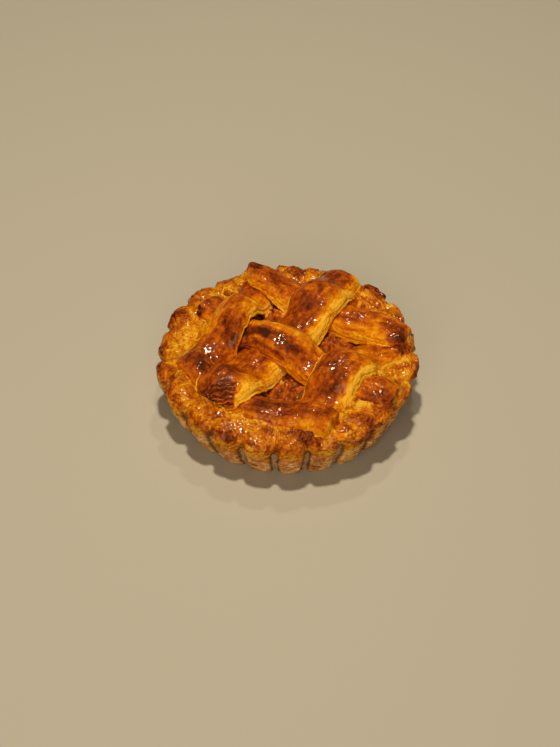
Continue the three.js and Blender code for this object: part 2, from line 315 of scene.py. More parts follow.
def terraces(field):
    """Flaky steps that rise over one unit of the field and then break off, and the dark breaks."""
    share = field - np.floor(field)
    return share * (1 - smoothstep(0.86, 1.0, share)), smoothstep(0.7, 0.92, share)


def scorch(node, points):
    """Strength of the oven's strokes on a piece."""
    total = np.zeros(points.shape[:-1])
    ragged = STROKE_RAGGED * CRUST.fractal(points, size=4.0)
    for stroke in SCORCHES[node]:
        run = np.array([stroke.end_x - stroke.x, stroke.end_y - stroke.y])
        offset = points[..., :2] - (stroke.x, stroke.y)
        share = np.clip(offset @ run / (run @ run), 0, 1)
        gap = np.linalg.norm(offset - share[..., None] * run, axis=-1) + ragged
        total += stroke.strength * smoothstep(1.4 * stroke.radius, 0.3 * stroke.radius, gap)
    return total


def normals(rows):
    """Unit normals of a tube of rows, each a closed ring."""
    lengthwise = np.gradient(rows, axis=0)
    around = np.roll(rows, -1, axis=1) - np.roll(rows, 1, axis=1)
    cross = np.cross(around, lengthwise)
    return cross / (np.linalg.norm(cross, axis=-1, keepdims=True) + 1e-9)


def add_piece(node, rows, marks, material):
    """A closed tube: rings of points, with a middle point at either end, that stands for a CAD node."""
    count, size = rows.shape[:2]
    points = np.vstack([rows.reshape(-1, 3), rows[0].mean(axis=0), rows[-1].mean(axis=0)])
    index = np.arange(count * size).reshape(count, size)
    after = np.roll(index, -1, axis=1)
    quads = np.stack([index[:-1], after[:-1], after[1:], index[1:]], axis=-1).reshape(-1, 4)
    first, last = count * size, count * size + 1
    caps = [(first, b, a) for a, b in zip(index[0].tolist(), after[0].tolist())]
    caps += [(last, a, b) for a, b in zip(index[-1].tolist(), after[-1].tolist())]
    mesh = bpy.data.meshes.new(node)
    mesh.from_pydata((points * MM).tolist(), [], quads.tolist() + caps)
    for name, values in marks.items():
        layer = mesh.attributes.new(name, "FLOAT", "POINT")
        flat = np.concatenate([values.ravel(), [values[0].mean(), values[-1].mean()]])
        layer.data.foreach_set("value", flat.astype(np.float32))
    mesh.shade_smooth()
    mesh.materials.append(material)
    piece = bpy.data.objects.new(node + "_look", mesh)
    bpy.context.scene.collection.objects.link(piece)
    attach(piece, "root")
    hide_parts(node)


# Materials: colours by how far the dough is baked, how floury it is, the painted shade in the grooves, and
# how pale the meat is

BAKED = [
    (0.0, (0.99, 0.55, 0.045)),
    (0.1, (0.88, 0.40, 0.012)),
    (0.21, (0.78, 0.28, 0.004)),
    (0.37, (0.62, 0.160, 0.003)),
    (0.53, (0.43, 0.083, 0.003)),
    (0.68, (0.26, 0.043, 0.003)),
    (0.84, (0.14, 0.021, 0.003)),
    (1.0, (0.05, 0.010, 0.003)),
]
FLOURY = [
    (0.46, (0.40, 0.15, 0.045)),
    (0.58, (0.62, 0.28, 0.09)),
    (0.70, (0.89, 0.56, 0.25)),
]
# Painted shade in the grooves of the flutes: dark along their sides, greyer in their middles.
GROOVE_SHADE_COLOURS = [
    (0.68, (0.12, 0.045, 0.016)),
    (0.97, (0.44, 0.285, 0.185)),
]
GROOVE_SHADE_SHARE = [
    (0.1, (0, 0, 0)),
    (0.5, (0.85, 0.85, 0.85)),
]
MEATY = [
    (0.0, (0.11, 0.016, 0.003)),
    (0.3, (0.32, 0.06, 0.006)),
    (0.55, (0.52, 0.12, 0.006)),
    (0.78, (0.70, 0.24, 0.010)),
    (0.95, (0.80, 0.46, 0.09)),
]
# Dark olive: the colour of green bits, and painted shade in one of them.
HERB_AND_SHADE = (0.10, 0.075, 0.012)
SHINE = (1.0, 0.8, 0.45, 1.0)
BAKE_SHIFT = -0.35
MEAT_SHIFT = -0.12
GROOVE_SHADE_SHIFT = -0.6
LAYERS = 13.0
LAYER_EDGE = 0.7
COAT = 0.7


def new_material(name):
    material = bpy.data.materials.new(name)
    material.use_nodes = True
    tree = material.node_tree
    return material, tree, tree.nodes["Principled BSDF"]


def read_mark(tree, name):
    node = tree.nodes.new("ShaderNodeAttribute")
    node.attribute_name = name
    return node.outputs["Fac"]


def add_noise(tree, place, size, detail):
    node = tree.nodes.new("ShaderNodeTexNoise")
    node.inputs["Scale"].default_value = 1 / (size * MM)
    node.inputs["Detail"].default_value = detail
    tree.links.new(place, node.inputs["Vector"])
    return node.outputs["Fac"]


def add_math(tree, operation, *values):
    node = tree.nodes.new("ShaderNodeMath")
    node.operation = operation
    for socket, value in zip(node.inputs, values):
        if isinstance(value, (int, float)):
            socket.default_value = value
        else:
            tree.links.new(value, socket)
    return node.outputs["Value"]


def add_terms(tree, total, terms):
    """A total with each term added to it, times its weight."""
    for value, weight in terms:
        total = add_math(tree, "MULTIPLY_ADD", value, weight, total)
    return total


def add_ramp(tree, value, stops):
    node = tree.nodes.new("ShaderNodeValToRGB")
    ramp = node.color_ramp
    while len(ramp.elements) < len(stops):
        ramp.elements.new(0.5)
    for element, (place, colour) in zip(ramp.elements, stops):
        element.position = place
        element.color = (*colour, 1)
    tree.links.new(value, node.inputs["Fac"])
    return node.outputs["Color"]


def add_mix(tree, share, first, second):
    node = tree.nodes.new("ShaderNodeMix")
    node.data_type = "RGBA"
    tree.links.new(share, node.inputs["Factor"])
    for name, value in (("A", first), ("B", second)):
        if isinstance(value, tuple):
            node.inputs[name].default_value = (*value, 1)
        else:
            tree.links.new(value, node.inputs[name])
    return [socket for socket in node.outputs if socket.type == "RGBA"][0]


def add_bump(tree, height, strength, depth):
    node = tree.nodes.new("ShaderNodeBump")
    node.inputs["Strength"].default_value = strength
    node.inputs["Distance"].default_value = depth * MM
    tree.links.new(height, node.inputs["Height"])
    return node.outputs["Normal"]


def pastry_material(name, shade, swirl):
    """Baked dough, from pale layers to a dark glaze, by the marks bake, glaze, wall and groove."""
    material, tree, shader = new_material(name)
    place = tree.nodes.new("ShaderNodeTexCoord").outputs["Object"]
    squash = tree.nodes.new("ShaderNodeMapping")
    squash.inputs["Scale"].default_value = (1, 1, 2.4)
    tree.links.new(place, squash.inputs["Vector"])
    mottle = add_noise(tree, place, size=3.0, detail=4.0)
    speck = add_noise(tree, place, size=1.2, detail=4.0)
    flaky = add_noise(tree, squash.outputs["Vector"], size=3.2, detail=4.0)
    folds = add_math(tree, "MULTIPLY", add_noise(tree, place, size=8.0, detail=1.5), LAYERS)
    layer = add_math(tree, "FRACT", folds)
    edge = add_math(tree, "GREATER_THAN", layer, LAYER_EDGE)
    mark = read_mark(tree, "bake")
    groove = read_mark(tree, "groove")

    bake = add_terms(tree, BAKE_SHIFT, [(mark, 0.9), (mottle, 0.32), (speck, 0.58), (edge, swirl)])
    crust = add_ramp(tree, bake, [(stop, tuple(shade * c for c in colour)) for stop, colour in BAKED])
    fleck = add_terms(tree, 0.0, [(flaky, 0.7), (speck, 0.6), (mark, -0.2)])
    flour = add_ramp(tree, fleck, FLOURY)
    # Painted shade in the grooves, where the mark groove is high.
    groove_shading = add_terms(tree, GROOVE_SHADE_SHIFT, [(mottle, 0.6), (speck, 0.6), (groove, 1.0)])
    groove_shade = add_ramp(tree, groove_shading, GROOVE_SHADE_COLOURS)
    colour = add_mix(tree, read_mark(tree, "wall"), crust, flour)
    colour = add_mix(tree, add_ramp(tree, groove, GROOVE_SHADE_SHARE), colour, groove_shade)
    tree.links.new(colour, shader.inputs["Base Color"])

    coat = add_math(tree, "MULTIPLY", read_mark(tree, "glaze"), COAT)
    tree.links.new(coat, shader.inputs["Coat Weight"])
    shader.inputs["Coat Roughness"].default_value = 0.1
    shader.inputs["Roughness"].default_value = 0.55
    shader.inputs["Specular IOR Level"].default_value = 0.12
    shader.inputs["Specular Tint"].default_value = SHINE
    grain = add_noise(tree, place, size=1.5, detail=2.0)
    relief = add_bump(tree, add_terms(tree, grain, [(layer, 2 * swirl)]), strength=0.7, depth=0.5)
    tree.links.new(relief, shader.inputs["Normal"])
    ripple = add_noise(tree, place, size=1.9, detail=0.0)
    tree.links.new(add_bump(tree, ripple, strength=0.7, depth=0.4), shader.inputs["Coat Normal"])
    return material


def meat_material(name):
    """Moist mince: the marks chunk and herb pick each bit's colour; the dark olive is the colour of green
    bits, and painted shade in the bit at the left of the back gap.
    """
    material, tree, shader = new_material(name)
    place = tree.nodes.new("ShaderNodeTexCoord").outputs["Object"]
    grain = add_noise(tree, place, size=0.9, detail=3.0)
    tone = add_terms(tree, MEAT_SHIFT, [(grain, 0.25), (read_mark(tree, "chunk"), 1.0)])
    colour = add_mix(tree, read_mark(tree, "herb_and_shade"), add_ramp(tree, tone, MEATY), HERB_AND_SHADE)
    tree.links.new(colour, shader.inputs["Base Color"])
    shader.inputs["Roughness"].default_value = 0.3
    shader.inputs["Specular IOR Level"].default_value = 0.25
    shader.inputs["Specular Tint"].default_value = SHINE
    tree.links.new(add_bump(tree, grain, strength=0.4, depth=0.3), shader.inputs["Normal"])
    return material


# The case

# Its section: radius, height, and the shares of flutes, lumps and slump at each point.
CASE_SECTION = np.array([
    (2.0, 0.0, 0.0, 0.0, 0.0),
    (BASE_RADIUS - 1.5, 0.0, 0.7, 0.0, 0.5),
    (BASE_RADIUS, 1.5, 0.9, 0.0, 0.5),
    (54.75, 10.2, 1.0, 0.1, 0.9),
    (RIM_RADIUS - 1.5, 19.0, 1.0, 0.4, 1.0),
    (RIM_RADIUS, 22.3, 0.9, 0.8, 0.4),
    (RIM_RADIUS - 1, 24.3, 0.7, 1.0, 0.0),
    (RIM_RADIUS - 3.2, 25.2, 0.35, 1.0, -0.3),
    (RIM_RADIUS - 6.8, 25.7, 0.1, 1.0, -0.2),
    (RIM_RADIUS - 10, 25.2, 0.0, 0.8, 0.0),
    (RIM_RADIUS - 14, 24.1, 0.0, 0.5, 0.0),
    (LIP_RADIUS, FILLING_LEVEL + 0.6, 0.0, 0.0, 0.0),
    (LIP_RADIUS, FILLING_LEVEL - 0.8, 0.0, 0.0, 0.0),
    (CAVITY_RADIUS, FILLING_LEVEL - 2.5, 0.0, 0.0, 0.0),
    (CAVITY_RADIUS, FLOOR, 0.0, 0.0, 0.0),
    (2.0, FLOOR, 0.0, 0.0, 0.0),
])
BASE_EDGE, LIP = 1, 11
SECTION_EASE = 4
WALL_TOP, WALL_FULL = 19.0, 10.0  # heights where the dusty wall starts and is full
GROOVE_SHADE_TOP, GROOVE_SHADE_FULL = 22.5, 15.0  # and the same for the painted shade in the grooves
FLAKE_WIDTH = 3.4
RIDGE_HEIGHT = 2.4
GROOVE_SHARE = 0.55
SLOT_SHARE = 0.6
RIM_DIP = 0.3

# The height map of the dough that rises to the strips.
SKIRT_CELL = 0.6
SKIRT_SPAN = 66.0
SKIRT_SLOPE = 1.0
SKIRT_STEPS = 14
SKIRT_EASE = 1.6
SKIRT_COVER = 1.0
SKIRT_OVERLAP = 2
SKIRT_BLUR = 2
SIDES = [(dx, dy) for dx in (-1, 0, 1) for dy in (-1, 0, 1) if dx or dy]


def groove_share(count):
    return count - FLUTE_BIAS * np.sin(2 * np.pi * count)


def groove_angle(count):
    even = groove_share(count) / FLUTES * 2 * np.pi + FLUTE_TURN
    return even - FLUTE_DRIFT * np.sin(2 * even + DRIFT_PHASE)


def groove(count):
    return 1 - np.abs(np.sin(np.pi * groove_share(count))) ** GROOVE_POWER


def unevenness(angle):
    """Lobes of the rim, as in the solids."""
    lobes = 0.5 * np.cos(7 * (angle - math.radians(45)))
    return lobes + 0.3 * np.cos(2 * (angle - math.radians(40))) - 0.15 * np.sin(13 * angle)


def case_profile():
    """The section's points, close together from the base's edge to the lip, and sparse elsewhere."""
    outer = CASE_SECTION[BASE_EDGE:LIP + 1]
    reach = distances(outer[:, :2])
    places = np.arange(0, reach[-1], DETAIL)
    fine = np.stack([np.interp(places, reach, column) for column in outer.T], axis=1)
    return np.vstack([CASE_SECTION[:BASE_EDGE], smoothed(fine, SECTION_EASE), CASE_SECTION[LIP:]])


def neighbours(grid):
    """A grid moved by one cell to each of eight sides, and the grid itself."""
    return [np.roll(grid, side, (0, 1)) for side in SIDES + [(0, 0)]]


def skirts(strips):
    """Height map of dough that slopes away from the strips on every side, and where they cover it."""
    size = int(2 * SKIRT_SPAN / SKIRT_CELL)
    tops, heights = np.zeros((size, size)), np.zeros((size, size))
    for node, rows in strips.items():
        cell = ((rows[..., :2] + SKIRT_SPAN) / SKIRT_CELL).astype(int)
        place = (cell[..., 0], cell[..., 1])
        skirt = LOOKS[node].skirt
        skirt = np.linspace(START_SKIRTS.get(node, skirt), skirt, len(rows))[:, None]
        np.maximum.at(tops, place, rows[..., 2])
        np.maximum.at(heights, place, rows[..., 2] - skirt)
    falls = [SKIRT_SLOPE * SKIRT_CELL * math.hypot(*side) for side in SIDES]
    for _ in range(SKIRT_STEPS):
        lower = [np.roll(heights, side, (0, 1)) - fall for side, fall in zip(SIDES, falls)]
        heights = np.maximum(heights, np.max(lower, axis=0))
    for _ in range(SKIRT_BLUR):
        heights = np.mean(neighbours(heights), axis=0)
    covered = tops > 0
    for _ in range(SKIRT_OVERLAP):
        covered = np.all(neighbours(covered), axis=0)
    heights = np.where(covered, np.minimum(heights, tops - SKIRT_COVER), heights)
    for _ in range(SKIRT_BLUR):
        heights = np.mean(neighbours(heights), axis=0)
        covered = np.mean(neighbours(covered), axis=0)
    return heights, covered


def read_map(heights, rows):
    """Values of a height map at the plan places of points."""
    place = (rows[..., :2] + SKIRT_SPAN) / SKIRT_CELL - 0.5
    cell = np.floor(place).astype(int)
    east, north = np.moveaxis(place - cell, -1, 0)
    i, j = np.moveaxis(cell, -1, 0)
    low = lerp(heights[i, j], heights[i + 1, j], east)
    return lerp(low, lerp(heights[i, j + 1], heights[i + 1, j + 1], east), north)


def case_fields(rows, radius, z):
    """Uneven fields over the case, by name."""
    flaking = radius + 7.0 * LAYER.fractal(rows * (1, 1, 0.5), size=9.0, octaves=2)
    flakes, breaks = terraces(flaking / FLAKE_WIDTH)
    cracking = rows[..., 2] / RIDGE_HEIGHT + 1.2 * LAYER.fractal(rows * (1, 1, 0.6), size=6.0)
    ridges, cracks = terraces(cracking)
    return {
        "lumps": PUFF.fractal(rows, size=10.0, octaves=2),
        "creases": smoothstep(0.1, 0.0, np.abs(PUFF.smooth(rows + 70, size=14.0))),
        "flakes": flakes,
        "breaks": breaks * smoothstep(0.0, 0.4, LAYER.smooth(rows + 60, size=6.0)),
        "ridges": ridges * smoothstep(2, 10, z),
        "cracks": cracks,
        "bubbles": blisters(rows, size=2.4, share=0.3) + 1.6 * blisters(rows + 30, size=5.0, share=0.4),
        "wrinkles": CRUST.fractal(rows, size=2.6, octaves=2),
        "pleats": LAYER.fractal(rows * (0.7, 0.7, 2.0), size=3.0, octaves=2),
        "puffs": PUFF.fractal(rows, size=5.0, octaves=3),
    }


def dig_pit(rows, inward):
    """The pit and its lip, as shares at each point, and the case's points with both in them."""
    from_pit = np.hypot(rows[..., 0] - PIT[0], rows[..., 1] - PIT[1])
    from_pit = np.where(inward > 0, from_pit, np.inf)
    from_pit += PIT_RAGGED * TONE.fractal(rows + 20, size=3.0, octaves=2)
    pit = smoothstep(PIT_RADIUS, 0.3 * PIT_RADIUS, from_pit)
    lip = smoothstep(1.2, 0.3, np.abs(from_pit - 1.2 * PIT_RADIUS))
    dug = rows.copy()
    dug[..., 2] = np.maximum(rows[..., 2] + PIT_LIP * lip - PIT_DEPTH * pit, 0)
    return pit, lip, dug


def make_case(material, strips):
    """The case, raised to the strips, with its relief and marks."""
    count = np.arange(FLUTES * COLUMNS_PER_FLUTE) / COLUMNS_PER_FLUTE
    angle = groove_angle(count)
    r, z, flute, lump, lean = (column[:, None] for column in case_profile().T)
    aside = np.abs(groove_share(count) - np.round(groove_share(count)))
    slot = smoothstep(0.2, 0.06, aside)
    depth = flute * FLUTE_DEPTH * (GROOVE_SHARE * groove(count) + SLOT_SHARE * slot)
    swell = lump * unevenness(angle)
    radius = r - depth + flute * swell + lean * LEAN * np.cos(angle - LEAN_ANGLE)
    height = z + LUMP_HEIGHT * swell - RIM_DIP * lump * depth
    rows = np.stack([radius * np.cos(angle), radius * np.sin(angle), height + 0 * angle], axis=-1)
    shown = (flute > 0.05) | ((lump > 0) & (z > FILLING_LEVEL))
    top = smoothstep(0.45, 1.0, lump) * shown

    # The dough rises to the strips that lie on it.
    skirt, covered = (read_map(values, rows) for values in skirts(strips))
    inward = (z > FILLING_LEVEL + 0.5) * smoothstep(RIM_RADIUS - 1.5, RIM_RADIUS - 6, r)
    rise = inward * np.logaddexp(0, SKIRT_EASE * (skirt - rows[..., 2])) / SKIRT_EASE
    rows[..., 2] += rise

    # Relief, which is pressed flat where a strip covers the dough.
    fields = case_fields(rows, radius, z)
    lift = top * (weigh(fields, RIM_RELIEF) - RIM_SINK)
    lift += shown * (1 - top) * weigh(fields, WALL_RELIEF)
    pressed = lerp(lift, np.minimum(lift, 0) - COVERED_SINK, covered)
    lift = np.where(inward > 0, pressed, lift)
    rows = rows + normals(rows) * lift[..., None]
    fields["pit"], fields["lip"], rows = dig_pit(rows, inward)

    # Browning and the other marks.
    blotch = TONE.fractal(rows, size=9.0, octaves=3) + 0.3 * fields["lumps"]
    fields["patches"] = smoothstep(0.12, 0.47, blotch)
    fields["mottle"] = TONE.fractal(rows + 40, size=3.2, octaves=2)
    fields["edge"] = smoothstep(RIM_RADIUS - 3, RIM_RADIUS, radius) * top
    fields["risen"] = smoothstep(0.4, 2.0, rise)
    bake = RIM_BAKE + weigh(fields, RIM_BAKING) + scorch("pastry_case", rows)
    bake += (1 - top) * (weigh(fields, WALL_BAKING) - WALL_PALER)
    drips = 5.0 * TONE.fractal(rows * (1, 1, 0.4), size=7.0, octaves=3)
    wall = smoothstep(WALL_TOP, WALL_FULL, z + LUMP_HEIGHT * swell + drips)
    wall = wall * (z < RIM_HEIGHT - 1) * shown
    uneven = 0.05 * TONE.fractal(rows * (1, 1, 0.5) + 80, size=5.0, octaves=2)
    # Painted shade along the grooves of the flutes, fading out towards the rim.
    groove_shade = smoothstep(0.2, 0.045, aside + uneven)
    groove_shade = groove_shade * smoothstep(GROOVE_SHADE_TOP, GROOVE_SHADE_FULL, z + 20 * uneven)
    marks = {
        "bake": bake,
        "glaze": top * np.clip(0.6 + 0.7 * TONE.smooth(rows, size=7.0), 0, 1),
        "wall": wall * np.clip(0.9 + 0.6 * TONE.smooth(rows + 20, size=9.0), 0, 1),
        "groove": groove_shade * shown,
    }
    add_piece("pastry_case", rows, marks, material)


# The filling

FILLING_COLUMNS = 480
GRAIN = 2.0
GRAIN_WIDTH = 0.62
LUMP = 6.0
PLAY = 0.5  # between the filling and the case
BRIM_PLAY = 0.4

# Bits that stand out in the filling: plan place, radius, and the shares of pale and of green in them.
Bit = namedtuple("Bit", "x y radius pale green")
BITS = [
    Bit(-6.2, 26, 3.5, 0.25, 0.0),
    Bit(-2.4, 24, 2.8, 0.6, 0.0),
    Bit(-12.4, 20.9, 1.6, 0.6, 0.1),
    Bit(-11.3, 24, 1.6, 0.7, 0.0),
    Bit(-10.1, 27, 1.5, 0.6, 0.0),
    # This dark olive bit, at the left of the back gap under the strips' edges, is painted shade.
    Bit(-16, 22.5, 3.6, 0.3, 0.7),
    Bit(22.5, 8, 1.6, 0.2, 0.6),
    Bit(18.5, 6.5, 2.2, -0.05, 0.0),
    Bit(-3, -18, 1.2, 0.8, 0.1),
    Bit(-1.5, -19.5, 0.9, 0.7, 0.0),
]
BIT_HEIGHT = 2.0
MINCE_SWIRL = 0.8


def make_filling(material):
    """The mince, level with the lip, with its grains and single bits."""
    angle = np.arange(FILLING_COLUMNS) / FILLING_COLUMNS * 2 * np.pi
    brim = LIP_RADIUS - BRIM_PLAY
    edge = [
        (2.0, FLOOR + PLAY),
        (CAVITY_RADIUS - PLAY, FLOOR + PLAY),
        (CAVITY_RADIUS - PLAY, FILLING_LEVEL - 3),
        (brim, FILLING_LEVEL - 1.2),
        (brim, FILLING_LEVEL - 0.2),
    ]
    surface = [(radius, FILLING_LEVEL) for radius in np.arange(brim - DETAIL, 1.0, -DETAIL)]
    radius, height = np.array(edge + surface).T[..., None]
    rows = np.stack([radius * np.cos(angle), radius * np.sin(angle), height + 0 * angle], axis=-1)
    is_top = (np.arange(len(rows)) >= len(edge))[:, None]
    swirl = np.stack([MINCE.smooth(rows + shift, size=4.0) for shift in (0, 40, 80)], axis=-1)
    warped = rows + MINCE_SWIRL * swirl
    nearest, shade = MINCE.cells(warped, GRAIN)
    grain = np.clip(1 - (nearest / (GRAIN_WIDTH * GRAIN)) ** 2, 0, 1)
    lift = grain * (0.6 + 0.8 * shade) + MINCE.fractal(rows, LUMP, octaves=2) - 0.2
    # Tone rises towards each grain's top: darker between the grains is painted shade, and the grains' own
    # tones differ at random.
    tone = 0.36 * np.sqrt(grain) + 0.3 * shade + 0.18 * MINCE.smooth(rows + 60, LUMP)
    herb_and_shade = 0 * tone
    for bit in BITS:
        from_bit = np.hypot(warped[..., 0] - bit.x, warped[..., 1] - bit.y)
        share = smoothstep(bit.radius, 0.5 * bit.radius, from_bit)
        tone += bit.pale * share
        herb_and_shade += bit.green * share
        lift += BIT_HEIGHT * share
    rows[..., 2] += is_top * lift
    add_piece("filling", rows, {"chunk": tone, "herb_and_shade": herb_and_shade}, material)


# The lattice

COURSE_STEPS = 200
SURVEY_STEP = 1.2
SURVEY_REACH = 14.0
SURVEY_ACROSS = 0.3
SURVEY_MARGIN = 0.4
SURVEY_COLUMNS = 21
SURVEY_WIDTH = 0.96
SURVEY_EASE = 3
ABOVE, BELOW = 0.1, -0.01  # heights in metres where the rays start
SECTION_POWER = 5.0
SECTION_STEPS = 4001
HALF_DEPTH = 2.4
END_ROUND = 3.2
END_FACE = 5.0
END_POWER = 3.2
END_STEPS = 2001
SINK = 1.4
FLARE = 1.2
SWAY = 0.9
LAYER_HEIGHT = 1.1
LEAF_WIDTH = 1.6
BROWN_RUN = 3.0
BROWN_SHORT = 0.5


def course(line):
    """The curve through a strip's plan points, and the distance along it."""
    points = np.array(line, float)
    padded = np.vstack([points[:1], points, points[-1:]])
    t = np.linspace(0, 1, COURSE_STEPS, endpoint=False)[:, None]
    pieces = []
    for before, start, end, beyond in zip(padded[:-3], padded[1:-2], padded[2:-1], padded[3:]):
        leave, arrive = (end - before) / 2, (beyond - start) / 2
        cubic = (2 * start - 2 * end + leave + arrive) * t ** 3
        square = (3 * end - 3 * start - 2 * leave - arrive) * t ** 2
        pieces.append(cubic + square + leave * t + start)
    path = np.vstack(pieces + [points[-1:]])
    return path, distances(path)


def along(path, reach, places):
    """Centre, direction and sideways direction at places along a course."""
    def at(spots):
        return np.stack([np.interp(spots, reach, column) for column in path.T], axis=1)

    tangent = at(places + 0.5) - at(places - 0.5)
    tangent /= np.linalg.norm(tangent, axis=1, keepdims=True)
    return at(places), tangent, np.stack([-tangent[:, 1], tangent[:, 0]], axis=1)


def survey(node, path, reach):
    """Middle, half width, tops and undersides of a CAD strip at places along its course."""
    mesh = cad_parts[node].data
    tree = BVHTree.FromPolygons([v.co for v in mesh.vertices], [p.vertices for p in mesh.polygons])
    places = np.arange(SURVEY_MARGIN, reach[-1] - SURVEY_MARGIN, SURVEY_STEP)
    centre, _, sideways = along(path, reach, places)
    columns = np.linspace(-1, 1, SURVEY_COLUMNS)
    middle, half, top, bottom = [], [], [], []
    for point, side in zip(centre, sideways):
        hits = []
        for offset in np.arange(-SURVEY_REACH, SURVEY_REACH, SURVEY_ACROSS):
            x, y = (point + offset * side) * MM
            down = tree.ray_cast(Vector((x, y, ABOVE)), Vector((0, 0, -1)))[0]
            up = tree.ray_cast(Vector((x, y, BELOW)), Vector((0, 0, 1)))[0]
            if down is not None and up is not None:
                hits.append((offset, down.z / MM, up.z / MM))
        offsets, highs, lows = np.array(hits).T
        middle.append((offsets[0] + offsets[-1]) / 2)
        half.append((offsets[-1] - offsets[0]) / 2)
        spots = middle[-1] + SURVEY_WIDTH * half[-1] * columns
        top.append(np.interp(spots, offsets, highs))
        bottom.append(np.interp(spots, offsets, lows))
    return places, columns, np.array(middle), np.array(half), np.array(top), np.array(bottom)


def section_ring(half_width):
    """A rounded rectangle, -1 to 1 both ways, in even steps for a strip of that width."""
    turn = np.linspace(0, 2 * np.pi, SECTION_STEPS)
    v = np.sign(np.cos(turn)) * np.abs(np.cos(turn)) ** (2 / SECTION_POWER)
    w = np.sign(np.sin(turn)) * np.abs(np.sin(turn)) ** (2 / SECTION_POWER)
    reach = distances(np.stack([half_width * v, HALF_DEPTH * w], axis=1))
    places = np.linspace(0, reach[-1], int(reach[-1] / DETAIL), endpoint=False)
    return np.interp(places, reach, v), np.interp(places, reach, w)


def end_rounding():
    """Distances from a strip's end, and the share of the section there, from the middle outwards."""
    turn = np.linspace(0, np.pi / 2, END_STEPS)
    share = np.sin(turn) ** (2 / END_POWER)
    depth = END_ROUND * (1 - np.cos(turn) ** (2 / END_POWER))
    reach = distances(np.stack([END_FACE * share, depth], axis=1))
    places = np.arange(DETAIL, reach[-1], DETAIL)
    return np.interp(places, reach, depth), np.interp(places, reach, share)


def lay_strip(node, line):
    """Rows of a strip on its course, with the size and the height of its CAD node."""
    path, reach = course(line)
    length = reach[-1]
    places, columns, middle, half, top, bottom = survey(node, path, reach)
    v, w = section_ring(half.mean())
    depth, share = end_rounding()
    straight = np.arange(END_ROUND, length - END_ROUND, DETAIL)
    stations = np.concatenate([depth, straight, length - depth[::-1]])
    shares = np.concatenate([share, np.ones(len(straight)), share[::-1]])[:, None]
    centre, tangent, sideways = along(path, reach, stations)
    across, up = shares * v, shares * w

    def heights(grid):
        eased = smoothed(grid, SURVEY_EASE)
        eased = np.stack([np.interp(stations, places, column) for column in eased.T], axis=1)
        return eased, np.stack([np.interp(row, columns, levels) for row, levels in zip(across, eased)])

    tops, high = heights(top)
    low = heights(bottom)[1] - SINK
    station = stations[:, None] + 0 * across
    seam = np.stack([station, 40 * np.sign(across), 0 * station], axis=-1)
    sway = SWAY * PUFF.fractal(seam, size=9.0, octaves=2) + FLARE * smoothstep(0.4, -0.8, up)
    lateral = np.interp(stations, places, middle)[:, None]
    lateral = lateral + across * np.interp(stations, places, half)[:, None]
    lateral += np.sign(across) * across ** 4 * sway
    raised = (up + 1) / 2
    return SimpleNamespace(
        centre=centre, tangent=tangent, sideways=sideways, station=station, to_end=length - station,
        across=across, up=up, raised=raised, w=w, lateral=lateral, high=high,
        crest=tops.max(axis=1)[:, None], z=lerp(low, high, raised),
    )


def shape_ends(node, strip):
    """Points of a strip with its own ends, in space and along its grain, and its torn and folded shares."""
    lateral, z, centre = strip.lateral, strip.z.copy(), strip.centre
    if node == HORNED_STRIP:
        curl = np.clip(1 - strip.station / HORN_REACH, 0, 1) ** 2
        lateral = lateral * (1 - HORN_NARROWING * curl) + HORN_TURN * curl
        z += HORN_RISE * curl
        centre = centre - HORN_STRETCH * curl[:, :1] * strip.tangent
    if node in TRIMS:
        trim = smoothstep(TRIM_END, TRIM_FULL, np.abs(strip.station - TRIMS[node].place))
        lateral = lateral - TRIMS[node].depth * np.clip(strip.across, 0, 1) * trim
    if node == TORN_STRIP:
        pulled = smoothstep(11, 4, strip.to_end) * np.clip(-strip.across, 0, 1) ** 2
        lateral = lateral - TORN_PULL * pulled
    plan = centre[:, None] + lateral[..., None] * strip.sideways[:, None]
    x, y = np.moveaxis(plan, -1, 0)
    torn, fold = 0 * z, 0 * z
    if node == TORN_STRIP:
        ragged = CRUST.fractal(np.stack([x, y, z], axis=-1), size=4.0)
        torn = smoothstep(TORN_LINE, TORN_LINE - 1.2, y + 0.6 * ragged) * (strip.w > -0.95)
        torn *= smoothstep(TORN_RIGHT + 1, TORN_RIGHT - 1, x + 0.8 * ragged)
        sag = TORN_SAG * smoothstep(TORN_LINE, TORN_LINE - 12, y)
        z -= (sag + TORN_STEP * torn) * strip.raised
    if node == FOLDED_STRIP:
        start, end = np.array(FOLD)
        run = (end - start) / np.linalg.norm(end - start)
        aside = (x - start[0]) * run[1] - (y - start[1]) * run[0]
        fold = smoothstep(1.6, 0.0, np.abs(aside)) * strip.raised
        z -= FOLD_DEPTH * smoothstep(0.7, -0.7, aside) * strip.raised
    grainwise = np.stack([strip.station / 4, lateral, z], axis=-1)
    return np.concatenate([plan, z[..., None]], axis=-1), grainwise, torn, fold


def strip_fields(rows, grainwise, drop, dark):
    """Uneven fields over a strip, by name."""
    long_grain = grainwise * (0.5, 1, 1)
    patch = smoothstep(0.0, 0.4, 0.6 * TONE.smooth(rows, size=7.0) + dark)
    waves = 0.7 * LAYER.fractal(long_grain, size=3.5, octaves=2)
    ridges, breaks = terraces(drop / LAYER_HEIGHT + waves)
    waves = 0.7 * LAYER.fractal(rows, size=7.0, octaves=3)
    leaves, tears = terraces(-rows[..., 1] / LEAF_WIDTH + waves)
    small = blisters(rows, size=1.7, share=0.7)
    return {
        "puffs": PUFF.fractal(rows, size=13.0, octaves=2),
        "bubbles": small * patch + 0.7 * blisters(rows + 50, size=4.2, share=0.4),
        "wrinkles": LAYER.fractal(grainwise, size=1.7, octaves=2),
        "streaks": LAYER.fractal(long_grain + 30, size=2.2, octaves=2),
        "tone": TONE.fractal(rows, size=12.0, octaves=3),
        "ridges": ridges,
        "breaks": breaks,
        "leaf": leaves,
        "leaves": smoothstep(0.3, 0.8, leaves),
        "tears": tears,
        "front": smoothstep(-36, -41, rows[..., 1]),
    }


